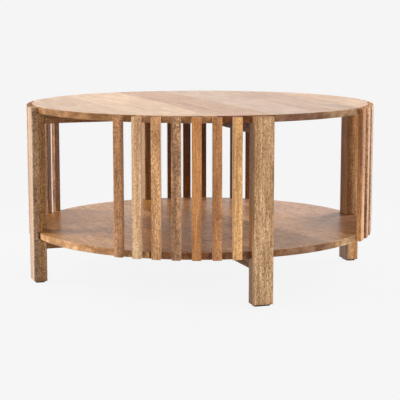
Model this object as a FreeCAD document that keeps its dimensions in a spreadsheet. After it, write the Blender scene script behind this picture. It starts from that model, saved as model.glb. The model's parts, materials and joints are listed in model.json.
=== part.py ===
import FreeCAD, Part
import os
import re
import Sketcher

# Round slatted coffee table, in millimetres.
#
# The table stands on the floor at height zero, with its axis on Z. The four legs stand on the
# X and Y axes, and the front leg is the one at minus Y. Seen from above, seven upright slats
# follow each leg clockwise, then an open gap runs to the next leg. Every piece that repeats
# round the table is drawn at the front, at minus Y, and turned into its place about Z.

doc = FreeCAD.newDocument("SlattedTable")

# Sizes
# Lengths are in millimetres and turns in degrees. A share is a part of the size it follows.

SIZES = (
    # Whole table
    ("table_height", 400, "floor to the upper face of the tabletop"),
    ("rim_radius", 390, "radius of the tabletop and of the shelf"),
    ("cut_overrun", 5, "how far a cutting shape runs past the face that it opens"),
    # Tabletop and shelf
    ("top_thickness", 15, "thickness of the tabletop boards"),
    ("shelf_thickness", 15, "thickness of the shelf boards"),
    ("shelf_underside", 101, "floor to the lower face of the shelf"),
    ("top_proud", 2, "how far the tabletop's upper face stands above the heads of legs and slats"),
    ("rim_bevel", 1.5, "bevel on the upper and lower edge of both rims"),
    ("shelf_turn", 12.5, "turn of the shelf boards away from the line of the front and back legs"),
    ("top_seam_1_share", -0.628, "place of each seam across the tabletop, from the axis, in rim radii"),
    ("top_seam_2_share", -0.238, ""),
    ("top_seam_3_share", 0.077, ""),
    ("top_seam_4_share", 0.385, ""),
    ("top_seam_5_share", 0.726, ""),
    ("shelf_seam_1_share", -0.736, "place of each seam across the shelf, from the axis, in rim radii"),
    ("shelf_seam_2_share", -0.405, ""),
    ("shelf_seam_3_share", -0.072, ""),
    ("shelf_seam_4_share", 0.259, ""),
    ("shelf_seam_5_share", 0.603, ""),
    # Legs
    ("leg_width", 45, "width of a leg along the rim"),
    ("leg_depth", 30, "depth of a leg, in line with the axis of the table"),
    ("leg_outside", 14, "how far the outer face of a leg stands outside the rim"),
    ("leg_round", 2.5, "rounding of all the outer edges of a leg"),
    ("rebate_clearance", 0.2, "gap between the rim of the tabletop and the rebate's upright wall"),
    ("slot_clearance", 0.2, "gap over the shelf in the slot of a leg"),
    ("slot_end_gap", 3, "gap between the rim of the shelf and the end of the slot"),
    # Foot pads
    ("pad_height", 3, "height of the pad under each leg"),
    ("pad_inset", 5, "how far the pad stays inside the sides of the leg"),
    ("pad_round", 3, "rounding of the upright corners of the pad"),
    # Slats
    ("slat_width", 20, "width of a slat along the rim"),
    ("slat_depth", 12, "depth of a slat, in line with the axis of the table"),
    ("slat_round", 2, "rounding of all the edges of a slat"),
    ("slat_glue_line", 0.1, "gap between the rim and the inner face of a slat"),
    ("slat_first_turn", 8, "turn from the middle of a leg to the middle of its first slat"),
    ("slat_pitch_turn", 6.08, "turn from one slat to the next"),
    # Cross rails
    ("rail_height", 23, "height of a cross rail"),
    ("rail_round", 1.5, "rounding of the four long edges of a rail"),
    ("lap_clearance", 0.1, "gap on each side of the rail that crosses in a half lap"),
    # Tenons on the rails and mortises in the legs
    ("tenon_width", 28, "width of a rail's tenon"),
    ("tenon_height", 13, "height of a rail's tenon"),
    ("tenon_length", 12, "length of a rail's tenon past its shoulder"),
    ("mortise_clearance", 0.15, "gap on every side of a tenon"),
    ("mortise_end_gap", 1, "gap past the end of a tenon"),
    # Dowels between the slats and the two rims
    ("dowel_radius", 3, "radius of a dowel"),
    ("dowel_in_slat", 8, "length of a dowel inside the slat"),
    ("dowel_in_rim", 16, "length of a dowel inside the rim"),
    ("dowel_clearance", 0.05, "gap round a dowel in its hole"),
    ("dowel_end_gap", 1, "gap past each end of a dowel"),
    # Screws that hold the boards down on the rails
    ("screw_radius", 2.2, "radius of a screw's shank"),
    ("screw_head_radius", 4.5, "radius of a screw's head"),
    ("screw_head_height", 3, "height of a screw's head"),
    ("screw_bite", 10, "length of a screw inside the boards"),
    ("screw_tip", 3, "length of the screw's tapered tip"),
    ("screw_clearance", 0.1, "gap round a screw's shank"),
    ("head_clearance", 0.5, "gap round a screw's head in its counterbore"),
    ("pilot_end_gap", 1, "gap past the tip of a screw"),
    ("counterbore_depth", 9, "depth of the counterbore under a rail"),
    ("screw_inner_share", 0.31, "places of the screws along a rail, in rail half lengths"),
    ("screw_outer_share", 0.86, ""),
)

sheet = doc.addObject("Spreadsheet::Sheet", "Sizes")
for row, (alias, value, meaning) in enumerate(SIZES, start=1):
    sheet.set("A%d" % row, alias)
    sheet.set("B%d" % row, str(value))
    sheet.set("C%d" % row, meaning)
    sheet.setAlias("B%d" % row, alias)
doc.recompute()

# Sizes and places that several pieces share, each worked out from the sizes above

PLACES = (
    ("leg_outer", "rim_radius + leg_outside"),
    ("leg_inner", "rim_radius + leg_outside - leg_depth"),
    ("head_height", "table_height - top_proud"),
    ("top_underside", "table_height - top_thickness"),
    ("rail_width", "leg_width"),
    ("shelf_face", "shelf_underside + shelf_thickness"),
    ("top_rail_underside", "table_height - top_thickness - rail_height"),
    ("shelf_rail_underside", "shelf_underside - rail_height"),
    ("top_dowel_height", "table_height - top_thickness / 2"),
    ("shelf_dowel_height", "shelf_underside + shelf_thickness / 2"),
    ("slat_inner", "rim_radius + slat_glue_line"),
    ("dowel_inner_end", "rim_radius - dowel_in_rim"),
    ("dowel_outer_end", "rim_radius + slat_glue_line + dowel_in_slat"),
    ("screw_shank_length", "rail_height - counterbore_depth + screw_bite"),
)

first_place_row = len(SIZES) + 2
for row, (alias, formula) in enumerate(PLACES, start=first_place_row):
    sheet.set("A%d" % row, alias)
    sheet.set("B%d" % row, "=" + formula)
    sheet.setAlias("B%d" % row, alias)
doc.recompute()

SIZE_NAMES = [entry[0] for entry in SIZES] + [entry[0] for entry in PLACES]


def bound(formula):
    """Write a formula of size names as an expression that reads them from the sheet."""
    def name(found):
        word = found.group()
        return "Sizes." + word if word in SIZE_NAMES else word

    return re.sub("[a-z][a-z_0-9]*", name, formula)


def bind(item, prop, formula):
    item.setExpression(prop, bound(formula))


def turned(turn, height="0", out="0", tilt="0"):
    """Placement of something drawn at the origin: tilted about X, moved out to the front by a
    radius and up by a height, then turned about the axis of the table."""
    return bound(
        "placement( vector( 0 ; 0 ; 0 ) ; rotation( vector( 0 ; 0 ; 1 ) ; %s ) ) * "
        "placement( vector( 0 ; -1 * ( %s ) ; %s ) ; rotation( vector( 1 ; 0 ; 0 ) ; %s ) )"
        % (turn, out, height, tilt)
    )


# Drawing aids for the sketches and features of a body


def new_body(label, turn="0"):
    body = doc.addObject("PartDesign::Body", label)
    body.Label = label
    body.setExpression("Placement", turned(turn))
    return body


def new_sketch(body, name, role, offset="0"):
    """Sketch on one of the body's own planes, moved along the plane's normal by an offset."""
    plane = [item for item in body.Origin.OriginFeatures if item.Role == role][0]
    sketch = body.newObject("Sketcher::SketchObject", name)
    sketch.AttachmentSupport = [(plane, "")]
    sketch.MapMode = "FlatFace"
    bind(sketch, "AttachmentOffset.Base.z", offset)
    return sketch


def read(item, formula):
    value = item.evalExpression(bound(formula))
    return float(getattr(value, "Value", value))


def add_rectangle(sketch, left, right, low, high):
    """Rectangle whose four sides are each held at a formula, measured from the sketch's origin."""
    x_low = read(sketch, left)
    x_high = read(sketch, right)
    y_low = read(sketch, low)
    y_high = read(sketch, high)
    corners = (
        FreeCAD.Vector(x_low, y_low, 0),
        FreeCAD.Vector(x_high, y_low, 0),
        FreeCAD.Vector(x_high, y_high, 0),
        FreeCAD.Vector(x_low, y_high, 0),
    )
    first = sketch.GeometryCount
    for index in range(4):
        sketch.addGeometry(Part.LineSegment(corners[index], corners[(index + 1) % 4]), False)
    for index in range(4):
        sketch.addConstraint(
            Sketcher.Constraint("Coincident", first + index, 2, first + (index + 1) % 4, 1)
        )
        direction = "Horizontal" if index % 2 == 0 else "Vertical"
        sketch.addConstraint(Sketcher.Constraint(direction, first + index))
    sides = (
        ("DistanceX", 0, x_low, left),
        ("DistanceX", 2, x_high, right),
        ("DistanceY", 0, y_low, low),
        ("DistanceY", 2, y_high, high),
    )
    for kind, line, value, formula in sides:
        number = sketch.addConstraint(
            Sketcher.Constraint(kind, -1, 1, first + line, 1, value)
        )
        bind(sketch, "Constraints[%d]" % number, formula)


def add_circle(sketch, across, along, radius):
    """Circle held by a formula for each coordinate of its centre and for its radius."""
    x_middle = read(sketch, across)
    y_middle = read(sketch, along)
    size = read(sketch, radius)
    middle = FreeCAD.Vector(x_middle, y_middle, 0)
    item = sketch.addGeometry(Part.Circle(middle, FreeCAD.Vector(0, 0, 1), size), False)
    places = (("DistanceX", x_middle, across), ("DistanceY", y_middle, along))
    for kind, value, formula in places:
        number = sketch.addConstraint(Sketcher.Constraint(kind, -1, 1, item, 3, value))
        bind(sketch, "Constraints[%d]" % number, formula)
    number = sketch.addConstraint(Sketcher.Constraint("Radius", item, size))
    bind(sketch, "Constraints[%d]" % number, radius)


def pad(body, sketch, name, length):
    feature = body.newObject("PartDesign::Pad", name)
    feature.Profile = sketch
    bind(feature, "Length", length)
    doc.recompute()
    return feature


def pocket(body, sketch, name, length, both_ways=False):
    """Cut against the sketch's normal, or by half the length to each side of its plane."""
    volume = body.Shape.Volume
    feature = body.newObject("PartDesign::Pocket", name)
    feature.Profile = sketch
    feature.Midplane = both_ways
    bind(feature, "Length", length)
    doc.recompute()
    if not body.Shape.Volume < volume:
        raise RuntimeError("the cut %s takes nothing away" % feature.Name)
    return feature


def fillet(body, base, name, edges, radius):
    feature = body.newObject("PartDesign::Fillet", name)
    feature.Base = (base, edges)
    bind(feature, "Radius", radius)
    doc.recompute()
    return feature


def every_edge(feature):
    return ["Edge%d" % number for number in range(1, len(feature.Shape.Edges) + 1)]


def edges_along(feature, axis):
    """The straight edges of a feature that run along a local axis: 0 is X, 1 is Y, 2 is Z."""
    found = []
    for number, edge in enumerate(feature.Shape.Edges, start=1):
        run = edge.Vertexes[-1].Point - edge.Vertexes[0].Point
        if edge.Length > 0 and abs(abs(run[axis]) - edge.Length) < Part.Precision.approximation():
            found.append("Edge%d" % number)
    return found


# Where each piece stands round the table

LEG_TURNS = (("front", "0"), ("right", "90"), ("back", "180"), ("left", "270"))
SLAT_NUMBERS = range(1, 8)


def slat_turn(leg_turn, number):
    return "%s - slat_first_turn - %d * slat_pitch_turn" % (leg_turn, number - 1)


# Legs
# A rounded post with a rebate at its head, where the tabletop lies on a ledge, a slot lower down
# that takes the rim of the shelf, and a mortise under each of them for the tenon of a cross rail.


def make_leg(side, turn):
    label = "leg_" + side
    body = new_body(label, turn)
    outline = new_sketch(body, label + "_outline", "XY_Plane", "pad_height")
    add_rectangle(
        outline, "-1 * leg_width / 2", "leg_width / 2", "-1 * leg_outer", "-1 * leg_inner"
    )
    post = pad(body, outline, label + "_post", "head_height - pad_height")
    fillet(body, post, label + "_rounding", every_edge(post), "leg_round")

    seats = new_sketch(body, label + "_seats", "YZ_Plane")
    add_rectangle(
        seats,
        "-1 * rim_radius - rebate_clearance",
        "-1 * leg_inner + cut_overrun",
        "top_underside",
        "head_height + cut_overrun",
    )
    add_rectangle(
        seats,
        "-1 * rim_radius - slot_end_gap",
        "-1 * leg_inner + cut_overrun",
        "shelf_underside",
        "shelf_face + slot_clearance",
    )
    pocket(body, seats, label + "_rebate_and_slot", "leg_width + 2 * cut_overrun", True)

    mortises = new_sketch(
        body, label + "_mortises", "XZ_Plane", "leg_inner + tenon_length + mortise_end_gap"
    )
    for underside in ("top_rail_underside", "shelf_rail_underside"):
        low = underside + " + rail_height / 2 - tenon_height / 2 - mortise_clearance"
        high = underside + " + rail_height / 2 + tenon_height / 2 + mortise_clearance"
        add_rectangle(
            mortises,
            "-1 * tenon_width / 2 - mortise_clearance",
            "tenon_width / 2 + mortise_clearance",
            low,
            high,
        )
    depth = "tenon_length + mortise_end_gap + cut_overrun"
    pocket(body, mortises, label + "_mortise_cuts", depth)
    return body


# Foot pads
# A thin rubber pad under each leg, a little inside its sides.


def make_foot_pad(side, turn):
    label = "foot_pad_" + side
    body = new_body(label, turn)
    outline = new_sketch(body, label + "_outline", "XY_Plane")
    add_rectangle(
        outline,
        "-1 * leg_width / 2 + pad_inset",
        "leg_width / 2 - pad_inset",
        "-1 * leg_outer + pad_inset",
        "-1 * leg_inner - pad_inset",
    )
    block = pad(body, outline, label + "_block", "pad_height")
    fillet(body, block, label + "_corners", edges_along(block, 2), "pad_round")
    return body


# Slats
# A rounded upright strip on the outside of both rims, as high as the legs at its head and flush
# with the shelf's lower face at its foot, drilled from inside for a dowel at each rim.


def make_slat(side, turn, number):
    label = "%s_slat_%d" % (side, number)
    body = new_body(label, slat_turn(turn, number))
    outline = new_sketch(body, label + "_outline", "XY_Plane", "shelf_underside")
    add_rectangle(
        outline,
        "-1 * slat_width / 2",
        "slat_width / 2",
        "-1 * slat_inner - slat_depth",
        "-1 * slat_inner",
    )
    strip = pad(body, outline, label + "_strip", "head_height - shelf_underside")
    fillet(body, strip, label + "_rounding", every_edge(strip), "slat_round")
    holes = new_sketch(body, label + "_holes", "XZ_Plane", "dowel_outer_end + dowel_end_gap")
    for height in ("top_dowel_height", "shelf_dowel_height"):
        add_circle(holes, "0", height, "dowel_radius + dowel_clearance")
    depth = "dowel_in_slat + dowel_end_gap + cut_overrun"
    pocket(body, holes, label + "_hole_cuts", depth)
    return body


# Cross rails
# Under the tabletop and under the shelf, two rails cross in a half lap on the axis. Each runs
# from leg to leg, with a tenon at both ends and counterbored holes for the screws to the boards.


def make_rail(label, turn, underside, lap_in_upper_face):
    body = new_body(label, turn)
    outline = new_sketch(body, label + "_outline", "XY_Plane", underside)
    add_rectangle(outline, "-1 * rail_width / 2", "rail_width / 2", "-1 * leg_inner", "leg_inner")
    bar = pad(body, outline, label + "_bar", "rail_height")
    fillet(body, bar, label + "_rounding", edges_along(bar, 1), "rail_round")

    tenon_underside = underside + " + rail_height / 2 - tenon_height / 2"
    tongue = new_sketch(body, label + "_tongue", "XY_Plane", tenon_underside)
    add_rectangle(
        tongue,
        "-1 * tenon_width / 2",
        "tenon_width / 2",
        "-1 * leg_inner - tenon_length",
        "leg_inner + tenon_length",
    )
    pad(body, tongue, label + "_tenons", "tenon_height")

    if lap_in_upper_face:
        lap_start = underside + " + rail_height + cut_overrun"
    else:
        lap_start = underside + " + rail_height / 2"
    lap = new_sketch(body, label + "_lap", "XY_Plane", lap_start)
    add_rectangle(
        lap,
        "-1 * rail_width / 2 - cut_overrun",
        "rail_width / 2 + cut_overrun",
        "-1 * rail_width / 2 - lap_clearance",
        "rail_width / 2 + lap_clearance",
    )
    pocket(body, lap, label + "_half_lap", "rail_height / 2 + cut_overrun")

    holes = (
        ("_shanks", "screw_radius + screw_clearance", " + rail_height + cut_overrun",
         "rail_height + 2 * cut_overrun"),
        ("_counterbores", "screw_head_radius + head_clearance", " + counterbore_depth",
         "counterbore_depth + cut_overrun"),
    )
    for ending, radius, start, depth in holes:
        circles = new_sketch(body, label + ending, "XY_Plane", underside + start)
        for along in screw_places():
            add_circle(circles, "0", along, radius)
        pocket(body, circles, label + ending + "_cut", depth)
    return body


def screw_places():
    """Places of the screws along a rail, from the axis."""
    shares = ("screw_inner_share", "screw_outer_share")
    return [sign + " * leg_inner * " + share for sign in ("-1", "1") for share in shares]


# Screws
# One turned outline, head down, that every screw is revolved from. It stands on the seat of the
# head, so that the seat lies at height zero.


def make_screw_outline():
    outline = doc.addObject("Sketcher::SketchObject", "screw_outline")
    bind(outline, "Placement.Base.z", "0")
    outline.Placement.Rotation = FreeCAD.Rotation(FreeCAD.Vector(1, 0, 0), 90)
    corners = (
        ("0", "-1 * screw_head_height"),
        ("screw_head_radius", "-1 * screw_head_height"),
        ("screw_head_radius", "0"),
        ("screw_radius", "0"),
        ("screw_radius", "screw_shank_length - screw_tip"),
        ("0", "screw_shank_length"),
    )
    points = [FreeCAD.Vector(read(outline, x), read(outline, y), 0) for x, y in corners]
    count = len(points)
    for index in range(count):
        outline.addGeometry(Part.LineSegment(points[index], points[(index + 1) % count]), False)
    for index, (x, y) in enumerate(corners):
        outline.addConstraint(
            Sketcher.Constraint("Coincident", index, 2, (index + 1) % count, 1)
        )
        for kind, formula in (("DistanceX", x), ("DistanceY", y)):
            number = outline.addConstraint(
                Sketcher.Constraint(kind, -1, 1, index, 1, read(outline, formula))
            )
            bind(outline, "Constraints[%d]" % number, formula)
    return outline


def make_screws(label, outline, underside):
    """Eight screws for one pair of crossing rails, as one group of separate solids."""
    screws = []
    for number, (turn, along) in enumerate(rail_screw_places(), start=1):
        screw = doc.addObject("Part::Revolution", "%s_%d" % (label, number))
        screw.Source = outline
        screw.Axis = FreeCAD.Vector(0, 0, 1)
        screw.Base = FreeCAD.Vector(0, 0, 0)
        screw.Angle = 360
        screw.Solid = True
        height = underside + " + counterbore_depth"
        screw.setExpression("Placement", turned(turn, height, along))
        screws.append(screw)
    return group(label, screws)


def rail_screw_places():
    return [(turn, along) for turn in ("0", "90") for along in screw_places()]


def group(label, items):
    item = doc.addObject("Part::Compound", label)
    item.Label = label
    item.Links = items
    return item


# Dowels
# Each dowel lies level and points outward, half in the rim and half in the slat.


def make_dowels(label, height):
    """One dowel for every slat, as one group of separate solids."""
    dowels = []
    for side, leg_turn in LEG_TURNS:
        for number in SLAT_NUMBERS:
            dowel = doc.addObject("Part::Cylinder", "%s_%s_%d" % (label, side, number))
            bind(dowel, "Radius", "dowel_radius")
            bind(dowel, "Height", "dowel_outer_end - dowel_inner_end")
            turn = slat_turn(leg_turn, number)
            dowel.setExpression("Placement", turned(turn, height, "dowel_inner_end", "90"))
            dowels.append(dowel)
    return group(label, dowels)


def make_drillings(label, dowel_height, screw_base):
    """The holes that the dowels and the screws need in the tabletop or the shelf."""
    holes = []
    for side, leg_turn in LEG_TURNS:
        for number in SLAT_NUMBERS:
            hole = doc.addObject("Part::Cylinder", "%s_%s_%d" % (label, side, number))
            bind(hole, "Radius", "dowel_radius + dowel_clearance")
            bind(hole, "Height", "dowel_in_rim + dowel_end_gap + cut_overrun")
            start = "dowel_inner_end - dowel_end_gap"
            turn = slat_turn(leg_turn, number)
            hole.setExpression("Placement", turned(turn, dowel_height, start, "90"))
            holes.append(hole)
    for number, (turn, along) in enumerate(rail_screw_places(), start=1):
        hole = doc.addObject("Part::Cylinder", "%s_pilot_%d" % (label, number))
        bind(hole, "Radius", "screw_radius + screw_clearance")
        bind(hole, "Height", "screw_bite + pilot_end_gap + cut_overrun")
        hole.setExpression("Placement", turned(turn, screw_base + " - cut_overrun", along))
        holes.append(hole)
    return group(label, holes)


# Tabletop and shelf
# Each is a disc with bevelled rims, drilled for the dowels and screws, made of boards that lie
# edge to edge: a board is what the disc shares with an upright strip between two seams.


def make_disc(label, underside, thickness, dowel_height):
    disc = new_body(label + "_disc")
    outline = new_sketch(disc, label + "_circle", "XY_Plane", underside)
    add_circle(outline, "0", "0", "rim_radius")
    plate = pad(disc, outline, label + "_plate", thickness)
    bevels = disc.newObject("PartDesign::Chamfer", label + "_rim_bevels")
    bevels.Base = (plate, every_rim(plate))
    bind(bevels, "Size", "rim_bevel")
    doc.recompute()
    drilled = doc.addObject("Part::Cut", label + "_drilled")
    drilled.Base = disc
    drilled.Tool = make_drillings(label + "_drilling", dowel_height, underside)
    return drilled


def every_rim(feature):
    """The closed circular edges of a round plate."""
    return [
        "Edge%d" % number
        for number, edge in enumerate(feature.Shape.Edges, start=1)
        if isinstance(edge.Curve, Part.Circle)
    ]


def make_boards(label, disc, underside, thickness, seams, turn):
    edge = "rim_radius + cut_overrun"
    cuts = ["-1 * ( %s )" % edge] + ["rim_radius * " + seam for seam in seams] + [edge]
    boards = []
    for number in range(1, len(cuts)):
        name = "%s_board_%d" % (label, number)
        strip = doc.addObject("Part::Box", name + "_strip")
        bind(strip, "Length", "( %s ) - ( %s )" % (cuts[number], cuts[number - 1]))
        bind(strip, "Width", "2 * ( %s )" % edge)
        bind(strip, "Height", "%s + 2 * cut_overrun" % thickness)
        strip.setExpression(
            "Placement",
            bound(
                "placement( vector( 0 ; 0 ; 0 ) ; rotation( vector( 0 ; 0 ; 1 ) ; %s ) ) * "
                "placement( vector( %s ; -1 * ( %s ) ; %s - cut_overrun ) ; "
                "rotation( vector( 0 ; 0 ; 1 ) ; 0 ) )" % (turn, cuts[number - 1], edge, underside)
            ),
        )
        board = doc.addObject("Part::Common", name)
        board.Label = name
        board.Base = disc
        board.Tool = strip
        boards.append(board)
    return boards


# Assembly

pieces = []
for side, leg_turn in LEG_TURNS:
    pieces.append(make_leg(side, leg_turn))
    pieces.append(make_foot_pad(side, leg_turn))
    for number in SLAT_NUMBERS:
        pieces.append(make_slat(side, leg_turn, number))

pieces.append(make_rail("top_rail_front_to_back", "0", "top_rail_underside", False))
pieces.append(make_rail("top_rail_left_to_right", "90", "top_rail_underside", True))
pieces.append(make_rail("shelf_rail_front_to_back", "0", "shelf_rail_underside", False))
pieces.append(make_rail("shelf_rail_left_to_right", "90", "shelf_rail_underside", True))

screw_outline = make_screw_outline()
pieces.append(make_screws("top_rail_screws", screw_outline, "top_rail_underside"))
pieces.append(make_screws("shelf_rail_screws", screw_outline, "shelf_rail_underside"))

pieces.append(make_dowels("top_slat_dowels", "top_dowel_height"))
pieces.append(make_dowels("shelf_slat_dowels", "shelf_dowel_height"))

top_disc = make_disc("top", "top_underside", "top_thickness", "top_dowel_height")
top_seams = ["top_seam_%d_share" % number for number in range(1, 6)]
pieces += make_boards("top", top_disc, "top_underside", "top_thickness", top_seams, "0")

shelf_disc = make_disc("shelf", "shelf_underside", "shelf_thickness", "shelf_dowel_height")
shelf_seams = ["shelf_seam_%d_share" % number for number in range(1, 6)]
pieces += make_boards(
    "shelf", shelf_disc, "shelf_underside", "shelf_thickness", shelf_seams, "shelf_turn"
)

doc.recompute()

# Checks and export

for item in doc.Objects:
    if "Invalid" in item.State or "Error" in item.State:
        raise RuntimeError("%s did not compute: %s" % (item.Name, item.State))
for piece in pieces:
    if piece.Shape.isNull() or not piece.Shape.isValid():
        raise RuntimeError("%s has no valid shape" % piece.Label)

os.makedirs("parts", exist_ok=True)
for piece in pieces:
    piece.Shape.exportStep("parts/%s.step" % piece.Label)
    print("%-26s solids %2d  volume %10.0f" % (
        piece.Label, len(piece.Shape.Solids), piece.Shape.Volume))
print("%d nodes" % len(pieces))
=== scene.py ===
import json
import math

import bpy
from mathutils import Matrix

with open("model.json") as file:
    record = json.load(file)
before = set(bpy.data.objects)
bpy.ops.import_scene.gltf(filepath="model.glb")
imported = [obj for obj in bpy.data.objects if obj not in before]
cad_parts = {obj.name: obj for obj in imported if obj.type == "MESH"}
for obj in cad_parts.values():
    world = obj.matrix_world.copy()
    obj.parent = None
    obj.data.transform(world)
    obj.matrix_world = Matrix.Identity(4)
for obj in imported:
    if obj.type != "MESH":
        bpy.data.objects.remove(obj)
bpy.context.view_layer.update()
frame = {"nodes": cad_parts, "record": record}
nodes = frame["nodes"]
slot_of = {part["node"]: part["material_slot"] for part in frame["record"]["subparts"]}

# Legs
# Four posts of solid mango wood, planed, with their long edges rounded over. The grain runs up
# the post. They are sanded and lacquered in a thin satin coat that leaves the pores open.


def put(tree, kind, inputs=(), **options):
    """Add a shader node. Each input is given a value, or another node's output to link."""
    new = tree.nodes.new(kind)
    for option, value in options.items():
        setattr(new, option, value)
    for socket, value in dict(inputs).items():
        if isinstance(value, bpy.types.NodeSocket):
            tree.links.new(value, new.inputs[socket])
        else:
            new.inputs[socket].default_value = value
    return new


def work_out(tree, operation, first, second=0.0, third=0.0):
    terms = {0: first, 1: second, 2: third}
    return put(tree, "ShaderNodeMath", terms, operation=operation).outputs[0]


def stretch(tree, place, scale):
    terms = {0: place, 1: scale}
    return put(tree, "ShaderNodeVectorMath", terms, operation="MULTIPLY").outputs[0]


def cloud(tree, place, detail=2.0, rough=0.5):
    """A cloudy pattern from 0 to 1, with about one cloud to each unit of the place."""
    terms = {"Vector": place, "Scale": 1.0, "Detail": detail, "Roughness": rough}
    return put(tree, "ShaderNodeTexNoise", terms).outputs["Fac"]


def between(tree, value, low, high, first=0.0, last=1.0, kind="SMOOTHSTEP"):
    """Carry a value that runs from low to high over to one that runs from first to last."""
    terms = {"Value": value, "From Min": low, "From Max": high, "To Min": first, "To Max": last}
    return put(tree, "ShaderNodeMapRange", terms, interpolation_type=kind).outputs[0]


def blend(tree, share, first, second, way="MIX"):
    made = put(
        tree, "ShaderNodeMix", {0: share, 6: first, 7: second},
        data_type="RGBA", blend_type=way, clamp_factor=True,
    )
    return made.outputs[2]


def paint(red, green, blue):
    """A colour from the 0 to 255 scale of a colour card."""
    shades = []
    for tone in (red, green, blue):
        part = tone / 255
        shades.append(part / 12.92 if part <= 0.04045 else ((part + 0.055) / 1.055) ** 2.4)
    return (*shades, 1.0)


# The grain that all woods of the table share. Lengths are in metres. A scale counts the clouds
# in one metre: two numbers across the grain, and the last along it.
wood_grain = bpy.data.node_groups.new("wood_grain", "ShaderNodeTree")
for title, kind, start in (
    ("Pale", "NodeSocketColor", (0.6, 0.4, 0.25, 1)),
    ("Body", "NodeSocketColor", (0.5, 0.3, 0.17, 1)),
    ("Dark", "NodeSocketColor", (0.2, 0.1, 0.05, 1)),
    ("Cut", "NodeSocketColor", (0.3, 0.15, 0.07, 1)),
    ("Vein", "NodeSocketColor", (0.5, 0.25, 0.06, 1)),
    ("Twist", "NodeSocketFloat", 0.0),
    ("Turn", "NodeSocketVector", (0, 0, 0)),
    ("Seed", "NodeSocketVector", (0, 0, 0)),
    ("Lay", "NodeSocketVector", (1, 0, 0)),
    ("Ring gap", "NodeSocketFloat", 0.006),
    ("Waver", "NodeSocketFloat", 0.03),
    ("Figure", "NodeSocketFloat", 0.5),
    ("Ring lines", "NodeSocketFloat", 0.2),
    ("Clouding", "NodeSocketFloat", 0.0),
    ("Marks", "NodeSocketFloat", 0.0),
    ("Streaks", "NodeSocketFloat", 0.3),
    ("Pores", "NodeSocketFloat", 0.5),
    ("Mottle", "NodeSocketFloat", 0.8),
    ("Lines", "NodeSocketFloat", 0.6),
    ("Quarter", "NodeSocketColor", (0.8, 0.6, 0.45, 1)),
    ("Quarter share", "NodeSocketFloat", 0.0),
    ("Knots", "NodeSocketFloat", 0.1),
    ("Edges", "NodeSocketFloat", 0.0),
    ("End grain", "NodeSocketFloat", 0.4),
    ("Vein place", "NodeSocketVector", (0, 0, 0)),
    ("Vein width", "NodeSocketFloat", 0.0),
    ("Heart place", "NodeSocketVector", (0, 0, 0)),
    ("Heart reach", "NodeSocketVector", (0, 0, 0)),
    ("Heart", "NodeSocketFloat", 0.0),
    ("Gloss", "NodeSocketFloat", 0.75),
):
    socket = wood_grain.interface.new_socket(title, in_out="INPUT", socket_type=kind)
    socket.default_value = start
for title, kind in (
    ("Color", "NodeSocketColor"),
    ("Roughness", "NodeSocketFloat"),
    ("Height", "NodeSocketFloat"),
):
    wood_grain.interface.new_socket(title, in_out="OUTPUT", socket_type=kind)
given = wood_grain.nodes.new("NodeGroupInput").outputs
where = wood_grain.nodes.new("ShaderNodeTexCoord").outputs


def reckon(operation, first, second=0.0, third=0.0):
    return work_out(wood_grain, operation, first, second, third)


def times(first, second):
    return reckon("MULTIPLY", first, second)


def ease(value, low, high, first=0.0, last=1.0, kind="SMOOTHSTEP"):
    return between(wood_grain, value, low, high, first, last, kind)


def with_vector(operation, *vectors):
    made = put(wood_grain, "ShaderNodeVectorMath", enumerate(vectors), operation=operation)
    return made.outputs


def along_grain(direction):
    """Turn a place or direction so that the grain of the piece runs along its third axis."""
    twisted = put(
        wood_grain, "ShaderNodeVectorRotate", {"Vector": direction, "Angle": given["Twist"]},
        rotation_type="Z_AXIS",
    ).outputs[0]
    return put(
        wood_grain, "ShaderNodeVectorRotate", {"Vector": twisted, "Rotation": given["Turn"]},
        rotation_type="EULER_XYZ",
    ).outputs[0]


place = along_grain(where["Object"])
facing = along_grain(where["Normal"])
moved = with_vector("ADD", place, given["Seed"])[0]


def pattern(scale, detail, rough):
    return cloud(wood_grain, stretch(wood_grain, moved, scale), detail, rough)


def across_layers(direction):
    return with_vector("DOT_PRODUCT", direction, given["Lay"])["Value"]


# Branch marks: a few small dark knots, with the rings bending round each of them
KNOT_SCALE = (17, 17, 7)
KNOT_REACH = 0.45
KNOT_RIM, KNOT_CORE = 0.13, 0.04
KNOT_BEND = 0.012
KNOT_STRENGTH = 0.8
cells = put(
    wood_grain,
    "ShaderNodeTexVoronoi",
    {"Vector": stretch(wood_grain, moved, KNOT_SCALE), "Scale": 1.0},
).outputs
chance = put(wood_grain, "ShaderNodeSeparateColor", {0: cells["Color"]}).outputs[0]
chosen = reckon("LESS_THAN", chance, given["Knots"])
near_knot = times(ease(cells["Distance"], KNOT_REACH, 0.0), chosen)
in_knot = times(ease(cells["Distance"], KNOT_RIM, KNOT_CORE), chosen)

# Year rings: a slow wavering of the layers, cut by the faces of the piece
QUICK_WAVER = 0.16
RING_LINE_RATE = 5.0
RING_CHANGE = 1.5
slow = pattern((11, 11, 2.2), detail=2.0, rough=0.45)
quick = pattern((45, 45, 7), detail=2.0, rough=0.5)
layer = reckon("ADD", across_layers(place), times(slow, given["Waver"]))
layer = reckon("ADD", layer, times(quick, times(given["Waver"], QUICK_WAVER)))
layer = reckon("MULTIPLY_ADD", near_knot, KNOT_BEND, layer)
ring_number = reckon("DIVIDE", layer, given["Ring gap"])
up_grain = put(wood_grain, "ShaderNodeSeparateXYZ", {0: moved}).outputs[2]
ring_place = put(
    wood_grain,
    "ShaderNodeCombineXYZ",
    {"X": ring_number, "Z": times(up_grain, RING_CHANGE)},
).outputs[0]
rings = ease(cloud(wood_grain, ring_place, detail=3.0, rough=0.6), 0.36, 0.66)
ring_line = ease(reckon("SINE", times(ring_number, RING_LINE_RATE)), 0.2, 1.0)

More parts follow.
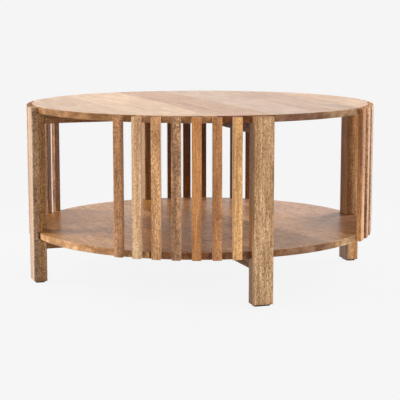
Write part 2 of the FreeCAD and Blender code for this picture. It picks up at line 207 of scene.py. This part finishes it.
# Fibres, flecks, lines, broad streaks and open pores, all drawn out along the grain
fibre = pattern((700, 700, 16), detail=3.0, rough=0.6)
fleck = pattern((520, 520, 210), detail=2.0, rough=0.7)
line = pattern((330, 330, 18), detail=2.0, rough=0.55)
drift = pattern((60, 60, 3.5), detail=3.0, rough=0.55)
crowd = pattern((90, 90, 22), detail=2.0, rough=0.6)
pore = pattern((850, 850, 200), detail=1.0, rough=0.5)
CROWDING = 0.3
pore = ease(reckon("MULTIPLY_ADD", crowd, CROWDING, pore), 0.66, 0.76)

GREEN_FALL = 1.2
BLUE_FALL = 1.45


def shade(colour, value, amount=1.0):
    """Make a colour lighter, or darker and a little warmer."""
    factor = reckon("MULTIPLY_ADD", reckon("SUBTRACT", value, 1.0), amount, 1.0)
    green = reckon("POWER", factor, GREEN_FALL)
    blue = reckon("POWER", factor, BLUE_FALL)
    warm = put(wood_grain, "ShaderNodeCombineXYZ", {0: factor, 1: green, 2: blue}).outputs[0]
    return blend(wood_grain, 1.0, colour, warm, "MULTIPLY")


def ragged_distance(spot, reach, unevenness):
    """Distance from a spot, stretched by the reach, with an uneven outline."""
    apart = with_vector("SUBTRACT", place, spot)[0]
    apart = with_vector("LENGTH", stretch(wood_grain, apart, reach))["Value"]
    return reckon("MULTIPLY_ADD", slow, unevenness, reckon("SUBTRACT", apart, unevenness / 2))


# The tones: layers of pale and body wood, and on some legs a coloured vein over their length
ACROSS_ONLY = (1, 1, 0)
VEIN_RAGGED = 0.02
VEIN_STRENGTH = 0.85
colour = blend(wood_grain, times(rings, given["Figure"]), given["Pale"], given["Body"])
off_vein = ragged_distance(given["Vein place"], ACROSS_ONLY, VEIN_RAGGED)
in_vein = ease(reckon("DIVIDE", off_vein, given["Vein width"]), 1.0, 0.35)
in_vein = times(in_vein, reckon("GREATER_THAN", given["Vein width"], 0.0))
colour = blend(wood_grain, times(in_vein, VEIN_STRENGTH), colour, given["Vein"])

# Faces cut flat through the layers show pores and flecks, and the rims of the boards have a tone
# of their own. Faces cut across the layers get a pale pink, partly the wood's own tone and partly
# a painted highlight: on the slats these are the faces turned left and right, to the side lamps
LEAST_FLAT = 0.35
flat_sawn = reckon("ABSOLUTE", across_layers(facing))
flat_sawn = ease(flat_sawn, 0.25, 0.7, first=LEAST_FLAT)
# Painted highlight, partly the wood's own tone: a pale pink on faces across the layers
quarter = ease(flat_sawn, 1.0, LEAST_FLAT, kind="LINEAR")
colour = blend(wood_grain, times(quarter, given["Quarter share"]), colour, given["Quarter"])
facing_parts = put(wood_grain, "ShaderNodeSeparateXYZ", {0: facing}).outputs
on_edge = ease(reckon("ABSOLUTE", facing_parts[1]), 0.97, 0.72)
edge_share = times(on_edge, given["Edges"])
colour = blend(wood_grain, edge_share, colour, given["Cut"])

# Thin ring lines, soft clouds, the curled outlines that spalting leaves in mango, and blotches
# on the rims
RING_LINE_DEPTH = -0.25
MARK_DEPTH = -0.35
MARK_GAP = 0.06
MARK_SHIFT = 0.03
MARK_WIDTH = 0.024
colour = shade(
    colour, reckon("MULTIPLY_ADD", ring_line, RING_LINE_DEPTH, 1.0), given["Ring lines"]
)
haze = pattern((26, 26, 9), detail=4.0, rough=0.62)
colour = shade(colour, ease(haze, 0.34, 0.66, first=0.8, last=1.2), given["Clouding"])
swirl = reckon("ADD", pattern((16, 16, 8), detail=2.0, rough=0.5), MARK_SHIFT)
outline = reckon("ABSOLUTE", reckon("PINGPONG", swirl, MARK_GAP))
outline = times(ease(outline, MARK_WIDTH, 0.0), ease(haze, 0.4, 0.54))
outline = times(outline, given["Marks"])
colour = shade(colour, reckon("MULTIPLY_ADD", outline, MARK_DEPTH, 1.0))
blotch = pattern((30, 30, 30), detail=3.0, rough=0.6)
colour = shade(colour, ease(blotch, 0.36, 0.62, first=0.62, last=1.38), edge_share)

# A darker patch round one spot, dark streaks, and darker ends where the fibres are cut across.
# On the shelf boards the patches are partly tone and partly painted shade, where the tabletop
# shades the middle of the shelf. On the legs and slats they make a piece darker towards one
# height, and the yellow slat darker round one spot.
DARK_PATCH_RAGGED = 0.9
off_dark_patch = ragged_distance(given["Heart place"], given["Heart reach"], DARK_PATCH_RAGGED)
in_dark_patch = times(ease(off_dark_patch, 1.15, 0.55), given["Heart"])
dark_patch_share = times(in_dark_patch, reckon("SUBTRACT", 1.0, edge_share))
colour = shade(colour, reckon("SUBTRACT", 1.0, dark_patch_share))
streak_share = times(ease(drift, 0.5, 0.72), given["Streaks"])
colour = blend(wood_grain, streak_share, colour, given["Dark"])
cut_across = ease(reckon("ABSOLUTE", facing_parts[2]), 0.25, 0.95)
end_tone = reckon("MULTIPLY_ADD", times(cut_across, given["End grain"]), -1.0, 1.0)
colour = shade(colour, end_tone)

# The fine marks come last: fibres, lines, flecks, pores and knots
EDGE_MOTTLE = 0.6
colour = shade(colour, ease(fibre, 0.25, 0.75, first=0.82, last=1.16, kind="LINEAR"))
line_share = times(flat_sawn, given["Lines"])
colour = shade(colour, ease(line, 0.3, 0.7, first=0.72, last=1.26, kind="LINEAR"), line_share)
mottle = reckon("MULTIPLY_ADD", edge_share, EDGE_MOTTLE, times(flat_sawn, given["Mottle"]))
colour = shade(colour, ease(fleck, 0.34, 0.58, first=0.4, last=1.3), mottle)
pore_share = times(pore, times(flat_sawn, given["Pores"]))
colour = blend(wood_grain, pore_share, colour, given["Dark"])
colour = blend(wood_grain, times(in_knot, KNOT_STRENGTH), colour, given["Dark"])

# The lacquer is smooth on the faces, and duller in pores, on rims and on cut ends. The pores
# are pits between fine fibres.
DULLEST = 0.5
GLOSS_GAIN = -0.4
rough = reckon("MULTIPLY_ADD", given["Gloss"], GLOSS_GAIN, DULLEST)
for roughening, amount in (
    (fibre, 0.12),
    (pore_share, 0.25),
    (edge_share, 0.3),
    (cut_across, 0.25),
):
    rough = reckon("MULTIPLY_ADD", roughening, amount, rough)
PORE_DEPTH, FIBRE_HEIGHT, RING_DEPTH = -1.0, 0.5, -0.15
height = reckon("MULTIPLY_ADD", pore_share, PORE_DEPTH, times(fibre, FIBRE_HEIGHT))
height = reckon("MULTIPLY_ADD", rings, RING_DEPTH, height)
put(wood_grain, "NodeGroupOutput", {"Color": colour, "Roughness": rough, "Height": height})


def new_material(title):
    made = bpy.data.materials.new(title)
    made.use_nodes = True
    made.node_tree.nodes.clear()
    return made


def skin_over(tree, inputs, depth, strength, height):
    """Give a material its surface, with a relief of the given depth in metres."""
    relief = put(
        tree, "ShaderNodeBump", {"Strength": strength, "Distance": depth, "Height": height}
    )
    skin = put(tree, "ShaderNodeBsdfPrincipled", {**inputs, "Normal": relief.outputs[0]})
    put(tree, "ShaderNodeOutputMaterial", {"Surface": skin.outputs[0]})


def wood(title, pale, body, dark, lacquer=1.35, **grain):
    """A satin lacquered wood with its own tones, made from the shared grain."""
    made = new_material(title)
    piece = made.node_tree.nodes.new("ShaderNodeGroup")
    piece.node_tree = wood_grain
    for socket, value in {"Pale": pale, "Body": body, "Dark": dark, **grain}.items():
        piece.inputs[socket.replace("_", " ").capitalize()].default_value = value
    looks = {
        "Base Color": piece.outputs["Color"],
        "Roughness": piece.outputs["Roughness"],
        "IOR": lacquer,
    }
    relief = piece.outputs["Height"]
    skin_over(made.node_tree, looks, depth=0.0004, strength=0.35, height=relief)
    return made


def dress(node, material):
    worn = nodes[node].data.materials
    worn.clear()
    worn.append(material)


def dress_slot(slot, material):
    """Give a material to every piece that the record puts in its slot."""
    for node, wanted in slot_of.items():
        if wanted == slot:
            dress(node, material)


LEG_WOODS = {
    "leg_front_wood": dict(
        pale=paint(209, 171, 133), body=paint(177, 141, 100), dark=paint(91, 59, 35),
        seed=(1.3, 4.1, 0.0), lay=(0.5, 0.87, 0), ring_gap=0.0045, waver=0.02,
        figure=0.9, streaks=0.35, pores=0.6, mottle=0.5, lines=1.0,
        heart_place=(0, 0, 0.4), heart_reach=(0, 0, 3.0), heart=0.22, lacquer=1.2,
        vein=paint(150, 96, 44), vein_place=(-0.032, -0.388, 0), vein_width=0.024,
    ),
    "leg_left_wood": dict(
        pale=paint(189, 155, 120), body=paint(150, 113, 83), dark=paint(74, 49, 33),
        seed=(7.9, 2.3, 0.4), lay=(0.25, 0.97, 0), ring_gap=0.006, waver=0.03,
        figure=1.0, streaks=0.3, pores=0.7, mottle=0.9, lines=0.9,
        vein=paint(176, 120, 54), vein_place=(-0.384, -0.0225, 0), vein_width=0.006,
    ),
    "leg_right_wood": dict(
        pale=paint(208, 165, 115), body=paint(168, 126, 85), dark=paint(90, 59, 33),
        seed=(3.7, 8.8, 0.9), lay=(0.25, 0.97, 0), ring_gap=0.006, waver=0.03,
        figure=0.9, streaks=0.4, pores=0.5, mottle=0.7, lines=1.0,
        vein=paint(180, 110, 44), vein_place=(0.395, -0.0225, 0), vein_width=0.006,
    ),
    "leg_back_wood": dict(
        pale=paint(164, 119, 70), body=paint(140, 96, 54), dark=paint(74, 44, 22),
        seed=(5.2, 6.4, 1.7), lay=(0.8, 0.5, 0), ring_gap=0.005, waver=0.025,
        figure=0.9, streaks=0.4, pores=0.5, mottle=0.6, lines=0.8,
    ),
}
for slot, looks in LEG_WOODS.items():
    dress_slot(slot, wood(slot, knots=0.03, **looks))

# Foot pads
# Thin pads of black rubber, stuck under the legs a little inside their sides. Dust and scuffs
# make the rubber greyer in patches.

foot_rubber = new_material("foot_rubber")
tree = foot_rubber.node_tree
spot = tree.nodes.new("ShaderNodeTexCoord").outputs["Object"]
dust = cloud(tree, stretch(tree, spot, (140, 140, 140)), detail=4.0, rough=0.6)
speckle = cloud(tree, stretch(tree, spot, (1500, 1500, 1500)), detail=2.0, rough=0.5)
dusty = between(tree, dust, 0.4, 0.7)
looks = {
    "Base Color": blend(tree, dusty, paint(34, 31, 29), paint(62, 57, 52)),
    "Roughness": between(tree, speckle, 0.3, 0.7, first=0.7, last=0.92, kind="LINEAR"),
}
skin_over(tree, looks, depth=0.0003, strength=0.3, height=speckle)
dress_slot("foot_rubber", foot_rubber)

# Cross rails
# Two pairs of rails, half lapped where they cross and tenoned into the legs, one pair under the
# shelf and one under the tabletop. Plain mango wood, with the grain along the rail.

GRAIN_FRONT_TO_BACK = (math.radians(90), 0, 0)
GRAIN_LEFT_TO_RIGHT = (0, math.radians(-90), 0)
RAIL_WOOD = dict(
    pale=paint(164, 122, 82), body=paint(134, 93, 58), dark=paint(70, 43, 23),
    lay=(0.7, 0.7, 0), ring_gap=0.005, waver=0.03, figure=0.9, streaks=0.4, pores=0.6,
    knots=0.03, gloss=0.3, lacquer=1.2,
)
for name, turn, seed in (
    ("rail_front_to_back", GRAIN_FRONT_TO_BACK, (2.2, 0.7, 0.3)),
    ("rail_left_to_right", GRAIN_LEFT_TO_RIGHT, (9.1, 3.6, 0.8)),
):
    rail = wood(name, turn=turn, seed=seed, **RAIL_WOOD)
    for level in ("top", "shelf"):
        dress(f"{level}_{name}", rail)

# Shelf
# Six mango boards, glued edge to edge and cut to a round, with the seams turned a little from
# those of the tabletop. Each board has its own tone, from pinkish grey to brown.

SHELF_TURN = math.radians(-12.5)
BOARD_GRAIN = dict(turn=GRAIN_FRONT_TO_BACK, lay=(0.12, 1, 0), edges=0.8, end_grain=0.45)
# Tones of the pale, body and dark wood and of the cut rim, then the seed, then the dark patch,
# partly the board's tone and partly painted shade where the tabletop shades the middle of the
# shelf: its place across and along the board, its length and its strength
SHELF_WOODS = {
    "shelf_tan": (
        (191, 136, 78), (171, 118, 67), (133, 88, 43), (198, 154, 112),
        (1.7, 0.4, 3.1), (-0.33, 0.32, 0.2, 0.25),
    ),
    "shelf_pale": (
        (183, 125, 62), (165, 110, 53), (128, 79, 32), (152, 105, 75),
        (4.6, 1.1, 2.2), (-0.22, -0.35, 0.28, 0.42),
    ),
    "shelf_grey": (
        (187, 135, 83), (166, 119, 70), (130, 87, 49), (143, 105, 85),
        (6.3, 5.0, 0.7), (-0.09, -0.06, 0.22, 0.45),
    ),
    "shelf_brown": (
        (167, 114, 54), (150, 100, 49), (116, 74, 35), (170, 138, 117),
        (0.9, 7.2, 1.9), (0.04, 0.08, 0.25, 0.3),
    ),
    "shelf_pink": (
        (201, 148, 100), (181, 132, 86), (139, 97, 60), (246, 214, 174),
        (8.1, 2.6, 4.3), (0.17, 0.2, 0.22, 0.4),
    ),
    "shelf_dark": (
        (191, 145, 111), (172, 127, 96), (131, 91, 67), (205, 150, 95),
        (3.0, 9.4, 5.6), (0.31, -0.3, 0.12, 0.2),
    ),
}
for slot, (pale, body, dark, cut, seed, darkening) in SHELF_WOODS.items():
    across, along, length, strength = darkening
    board = wood(
        slot, paint(*pale), paint(*body), paint(*dark), cut=paint(*cut), seed=seed,
        twist=SHELF_TURN, ring_gap=0.009, waver=0.12, figure=0.6, ring_lines=0.35,
        clouding=0.55, marks=1.0, streaks=0.15, pores=0.6, mottle=0.35, lines=0.25,
        knots=0.12, gloss=0.7, lacquer=1.34,
        heart_place=(across, 0, along), heart_reach=(3, 0, 1 / length), heart=strength,
        **BOARD_GRAIN,
    )
    dress_slot(slot, board)

# Slats
# Twenty-eight strips of mango wood with rounded edges, glued and dowelled to the outside of both
# rims. They are cut from mixed stock, so one is orange and the next pale or greyish brown.

# How far to the right of the table's middle the dark spot of the yellow slat lies
SPOT_ACROSS = -0.054
# Tones of the pale, body and dark wood, the seed, the shares of knots and of mottle, the lacquer,
# then the darker zone: its height, how fast it ends up and down, its strength, and how fast it
# ends to the sides
SLAT_WOODS = {
    "slat_yellow": (
        (225, 175, 115), (173, 119, 70), (98, 55, 26),
        (1.1, 3.3, 0.2), 0.12, 0.5, 1.35, (0.33, 24.0, 0.25, 110.0),
    ),
    "slat_red_tan": (
        (237, 174, 113), (176, 118, 66), (96, 55, 29),
        (4.2, 6.1, 0.9), 0.05, 0.6, 1.5, (0.4, 4.0, 0.42, 0),
    ),
    "slat_orange": (
        (227, 166, 106), (173, 116, 66), (102, 56, 29),
        (7.3, 0.8, 1.4), 0.02, 0.4, 1.35, (0.1, 6.0, 0.1, 0),
    ),
    "slat_grey_brown": (
        (210, 159, 112), (150, 106, 70), (74, 44, 25),
        (2.9, 8.7, 2.3), 0.03, 0.9, 1.5, (0.15, 8.0, 0.12, 0),
    ),
    "slat_tan": (
        (214, 164, 115), (160, 112, 72), (95, 57, 30),
        (9.6, 5.4, 3.8), 0.03, 0.65, 1.35, (0.1, 9.0, 0.12, 0),
    ),
    "slat_pale": (
        (224, 191, 147), (200, 155, 116), (133, 97, 63),
        (6.8, 2.0, 4.7), 0.02, 0.6, 1.35, (0.42, 9.0, 0.2, 0),
    ),
    "slat_red_brown": (
        (209, 157, 112), (151, 105, 70), (78, 44, 27),
        (0.6, 9.9, 5.1), 0.03, 0.75, 1.35, (0.42, 4.0, 0.28, 0),
    ),
    "slat_dark": (
        (150, 98, 46), (123, 76, 33), (66, 37, 13),
        (5.0, 1.6, 6.6), 0.03, 0.6, 1.35, (0.3, 6.0, 0.15, 0),
    ),
}
for slot, (pale, body, dark, seed, knots, mottle, lacquer, darkening) in SLAT_WOODS.items():
    height, upright, strength, sideways = darkening
    strip = wood(
        slot, paint(*pale), paint(*body), paint(*dark), lacquer, seed=seed, lay=(0.2, 0.98, 0),
        # Pale pink: painted highlight, partly the wood's tone, on faces turned left and right
        ring_gap=0.008, waver=0.05, quarter=paint(229, 199, 181), quarter_share=0.35,
        figure=1.0, streaks=0.45, pores=0.85 * mottle, mottle=mottle, lines=0.5, knots=knots,
        heart_place=(SPOT_ACROSS, 0, height), heart_reach=(sideways, 0, upright),
        heart=strength,
    )
    dress_slot(slot, strip)

# Dowels
# Fluted beech pins, glued in the holes of the slats and the rims, with the grain along each pin.
# They don't show once the table is put together.

dowel_wood = wood(
    "dowel_wood", paint(222, 190, 148), paint(200, 162, 118), paint(140, 104, 68),
    seed=(5.5, 5.5, 5.5), lay=(1, 0, 0), ring_gap=0.003, waver=0.01,
    figure=0.6, streaks=0.1, pores=0.3, knots=0.0, end_grain=0.0,
)
for level in ("top", "shelf"):
    dress(f"{level}_slat_dowels", dowel_wood)

# Screws
# Steel wood screws that hold the boards down on the rails, driven from below into counterbores.
# The steel is zinc plated, with fine turning marks and slightly duller patches.

screw_steel = new_material("screw_steel")
tree = screw_steel.node_tree
spot = tree.nodes.new("ShaderNodeTexCoord").outputs["Object"]
patches = cloud(tree, stretch(tree, spot, (400, 400, 400)), detail=3.0, rough=0.6)
turning_marks = cloud(tree, stretch(tree, spot, (300, 300, 4000)), detail=2.0, rough=0.5)
looks = {
    "Base Color": blend(tree, patches, paint(188, 188, 184), paint(150, 150, 148)),
    "Metallic": 1.0,
    "Roughness": between(tree, patches, 0.3, 0.7, first=0.28, last=0.48, kind="LINEAR"),
}
skin_over(tree, looks, depth=0.0002, strength=0.3, height=turning_marks)
for level in ("top", "shelf"):
    dress(f"{level}_rail_screws", screw_steel)

# Tabletop
# Six mango boards, glued edge to edge and cut to a round that lies in the rebates of the legs.
# The outer boards are creamy, the middle ones pinkish, and each shows soft flames and streaks.

# Tones of the pale, body and dark wood and of the cut rim, then the seed
TOP_WOODS = {
    "top_tan": (
        (186, 156, 128), (155, 123, 96), (102, 73, 50), (137, 90, 40), (2.4, 1.9, 6.2),
    ),
    "top_cream": (
        (195, 164, 134), (165, 132, 101), (112, 79, 52), (184, 137, 93), (5.8, 0.3, 1.5),
    ),
    "top_pink": (
        (171, 133, 105), (142, 106, 79), (92, 58, 41), (111, 57, 12), (0.2, 4.9, 2.8),
    ),
    "top_grey": (
        (177, 150, 128), (148, 119, 96), (98, 71, 54), (151, 109, 86), (7.7, 3.5, 0.1),
    ),
    "top_brown": (
        (173, 141, 116), (139, 106, 83), (89, 60, 43), (181, 148, 114), (3.9, 6.6, 4.4),
    ),
    "top_gold": (
        (188, 153, 123), (157, 123, 94), (102, 70, 46), (160, 116, 84), (8.5, 8.0, 3.3),
    ),
}
for slot, (pale, body, dark, cut, seed) in TOP_WOODS.items():
    board = wood(
        slot, paint(*pale), paint(*body), paint(*dark), cut=paint(*cut), seed=seed,
        ring_gap=0.008, waver=0.09, figure=0.8, ring_lines=0.4, clouding=0.3, marks=0.15,
        streaks=0.4, pores=0.5, mottle=0.25, lines=0.3, knots=0.04, gloss=0.55, lacquer=1.5,
        **BOARD_GRAIN,
    )
    dress_slot(slot, board)

# Studio
# A pale floor without an end, and five soft boxes that hang higher than the table, three round
# its left side and two on the right. They don't mirror in the lacquer. The camera looks slightly
# down on the table.

FLOOR_SIZE = 60
BACKGROUND = 0.913
FLOOR_TONE_IN_LIGHT = 0.62
FLOOR_TONE_SEEN = 0.8
SHADOW_NEAR, SHADOW_FAR = 0.45, 1.5
GLOW_NEAR_TABLE = 0.975
AIR_LIGHT = 0.02

bpy.ops.mesh.primitive_plane_add(size=FLOOR_SIZE, location=(0, 0, 0))
floor = bpy.context.object
floor.name = "studio_floor"


def seen_directly(tree):
    """1 for what the camera and the mirror images see, 0 for the light on the table."""
    rays = tree.nodes.new("ShaderNodeLightPath").outputs
    mirrored = work_out(tree, "MAXIMUM", rays["Is Glossy Ray"], rays["Is Transmission Ray"])
    return work_out(tree, "MAXIMUM", rays["Is Camera Ray"], mirrored)


floor_paper = new_material("floor_paper")
tree = floor_paper.node_tree
seen = seen_directly(tree)
glow = put(
    tree,
    "ShaderNodeEmission",
    {"Color": (BACKGROUND, BACKGROUND, BACKGROUND, 1), "Strength": 1.0},
).outputs[0]
tone = between(tree, seen, 0.0, 1.0, FLOOR_TONE_IN_LIGHT, FLOOR_TONE_SEEN, "LINEAR")
tone = put(tree, "ShaderNodeCombineColor", {0: tone, 1: tone, 2: tone}).outputs[0]
paper = put(tree, "ShaderNodeBsdfDiffuse", {"Color": tone}).outputs[0]
spot = tree.nodes.new("ShaderNodeTexCoord").outputs["Object"]
far = put(tree, "ShaderNodeVectorMath", {0: spot}, operation="LENGTH").outputs["Value"]
plain = between(tree, far, SHADOW_NEAR, SHADOW_FAR, GLOW_NEAR_TABLE, 1.0)
mixed = put(
    tree,
    "ShaderNodeMixShader",
    {0: work_out(tree, "MULTIPLY", seen, plain), 1: paper, 2: glow},
)
put(tree, "ShaderNodeOutputMaterial", {"Surface": mixed.outputs[0]})
floor.data.materials.append(floor_paper)

room = bpy.data.worlds.new("studio_air")
bpy.context.scene.world = room
room.use_nodes = True
tree = room.node_tree
tree.nodes.clear()
strength = between(tree, seen_directly(tree), 0.0, 1.0, AIR_LIGHT, BACKGROUND, "LINEAR")
air = put(tree, "ShaderNodeBackground", {"Color": (1, 1, 1, 1), "Strength": strength})
put(tree, "ShaderNodeOutputWorld", {"Surface": air.outputs[0]})

CAMERA_TURN = math.radians(19.18)
SIDEWAYS = (math.cos(CAMERA_TURN), -math.sin(CAMERA_TURN))
TOWARDS_CAMERA = (-math.sin(CAMERA_TURN), -math.cos(CAMERA_TURN))
LAMP_AIM_HEIGHT = 0.25

# Each box: metres to the right and towards the camera, height, width, and power in watts
for title, right, forward, height, width, power in (
    ("left_soft_box", -2.45, -0.1, 1.7, 1.5, 106),
    ("left_back_soft_box", -1.9, -1.55, 1.8, 1.5, 32),
    ("left_front_soft_box", -1.3, 2.35, 1.3, 1.4, 27),
    ("right_front_soft_box", 1.85, 1.75, 1.5, 1.5, 58),
    ("right_back_soft_box", 1.9, -1.75, 1.8, 1.5, 126),
):
    lamp = bpy.data.lights.new(title, "AREA")
    lamp.shape = "SQUARE"
    lamp.size = width
    lamp.energy = power
    box = bpy.data.objects.new(title, lamp)
    box.visible_glossy = False
    bpy.context.scene.collection.objects.link(box)
    box.location = (
        SIDEWAYS[0] * right + TOWARDS_CAMERA[0] * forward,
        SIDEWAYS[1] * right + TOWARDS_CAMERA[1] * forward,
        height,
    )
    aim = -box.location.copy()
    aim.z += LAMP_AIM_HEIGHT
    box.rotation_euler = aim.to_track_quat("-Z", "Y").to_euler()

CAMERA_DISTANCE = 3.026
CAMERA_HEIGHT = 0.627
CAMERA_TILT = 8.63
camera = bpy.data.cameras.new("camera")
camera.sensor_width = 36
camera.lens = 116.6
view = bpy.data.objects.new("camera", camera)
bpy.context.scene.collection.objects.link(view)
view.location = (
    TOWARDS_CAMERA[0] * CAMERA_DISTANCE,
    TOWARDS_CAMERA[1] * CAMERA_DISTANCE,
    CAMERA_HEIGHT,
)
view.rotation_euler = (math.radians(90 - CAMERA_TILT), 0, -CAMERA_TURN)
bpy.context.scene.camera = view

bpy.context.scene.view_settings.view_transform = "Standard"
